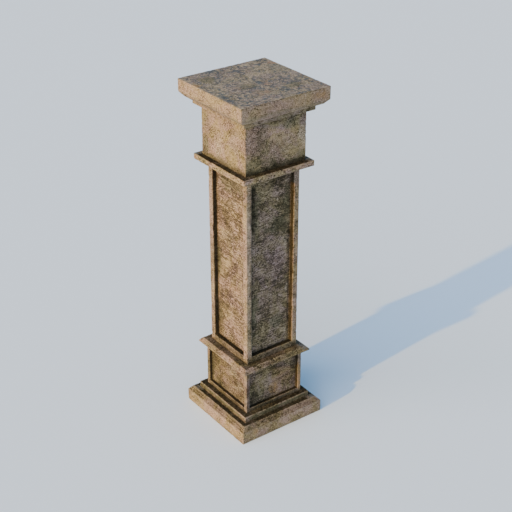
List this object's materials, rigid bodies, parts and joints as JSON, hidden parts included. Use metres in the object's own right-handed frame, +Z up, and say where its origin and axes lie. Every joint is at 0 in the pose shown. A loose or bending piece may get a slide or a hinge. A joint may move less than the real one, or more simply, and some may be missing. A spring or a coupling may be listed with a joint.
{
  "type": "ancient stone column",
  "caption": "Weathered square stone column on a stepped plinth, with sunk panels in its die and shaft, a plain capital block and a chamfered abacus.",
  "frame": {"origin": "centre of the plinth's underside, on the surface that the column stands on", "axes": "+Z up the column to the abacus, X and Y square to its sides"},
  "size_m": [2.01, 2.01, 7.1998],
  "materials": {
    "weathered_stone": "rough, pitted and patinated buff stone with brown and olive growth in the sheltered places"
  },
  "bodies": {
    "root": {"plinth": "weathered_stone", "die": "weathered_stone", "lower_band": "weathered_stone", "shaft": "weathered_stone", "upper_band": "weathered_stone", "capital_block": "weathered_stone", "abacus": "weathered_stone"}
  },
  "joints": []
}
